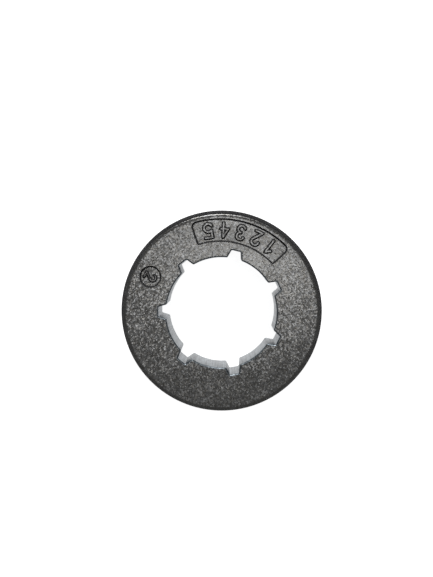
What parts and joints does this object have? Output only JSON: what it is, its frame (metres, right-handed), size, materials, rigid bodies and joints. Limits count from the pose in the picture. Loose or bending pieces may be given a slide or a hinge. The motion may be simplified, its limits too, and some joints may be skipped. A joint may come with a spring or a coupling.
{
  "type": "chainsaw rim sprocket",
  "caption": "Round one-piece chainsaw drive rim with a splined through bore, chain slots round its waist and shallow marked recesses on one face.",
  "frame": {"origin": "on the axis of the splined bore, at the plain back face that the part lies on", "axes": "+Z along the bore from the back face to the marked front face, +Y towards the arc panel, +X to the right of it"},
  "size_m": [0.0353, 0.0352, 0.0125],
  "materials": {
    "cast_steel": "dark grey as-cast steel, finely grainy, satin"
  },
  "bodies": {
    "root": {"rim_sprocket": "cast_steel"}
  },
  "joints": []
}
